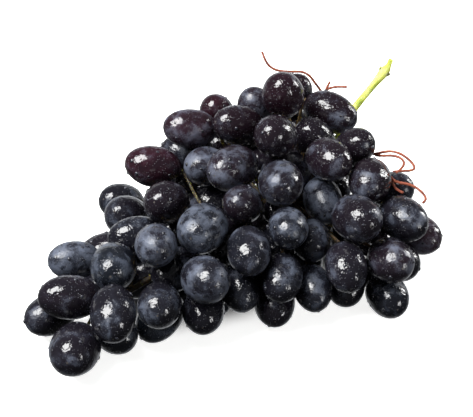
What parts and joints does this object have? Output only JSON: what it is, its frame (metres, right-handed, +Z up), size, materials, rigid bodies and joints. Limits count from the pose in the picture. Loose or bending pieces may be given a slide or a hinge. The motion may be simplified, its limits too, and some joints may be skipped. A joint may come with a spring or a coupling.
{
  "type": "bunch of grapes",
  "caption": "Bunch of blue-black table grapes lying on its side: oval berries on branched stems, a cut green stalk and dry tendrils.",
  "frame": {"origin": "on the table under the bunch, at the centre of its bounding box", "axes": "+Z up from the table; +X from the tip end to the stalk end, along the longest extent; +Y to the back, where the stalk points"},
  "size_m": [0.2048, 0.1854, 0.0918],
  "materials": {
    "berry_skin": "near-black blue-purple skin, glossy under a patchy blue-grey waxy bloom",
    "green_stem": "pale yellow-green fresh stem, matt",
    "dry_tendril": "dry red-brown tendril, matt"
  },
  "bodies": {
    "root": {"stalk": "green_stem", "spray_01": "berry_skin", "spray_02": "berry_skin", "spray_03": "berry_skin", "spray_04": "berry_skin", "spray_05": "berry_skin", "spray_06": "berry_skin", "spray_07": "berry_skin", "spray_08": "berry_skin", "spray_09": "berry_skin", "spray_10": "berry_skin", "spray_11": "berry_skin", "spray_12": "berry_skin", "spray_13": "berry_skin", "tendril_top": "dry_tendril", "tendril_loops": "dry_tendril", "tendril_tails": "dry_tendril"}
  },
  "joints": []
}
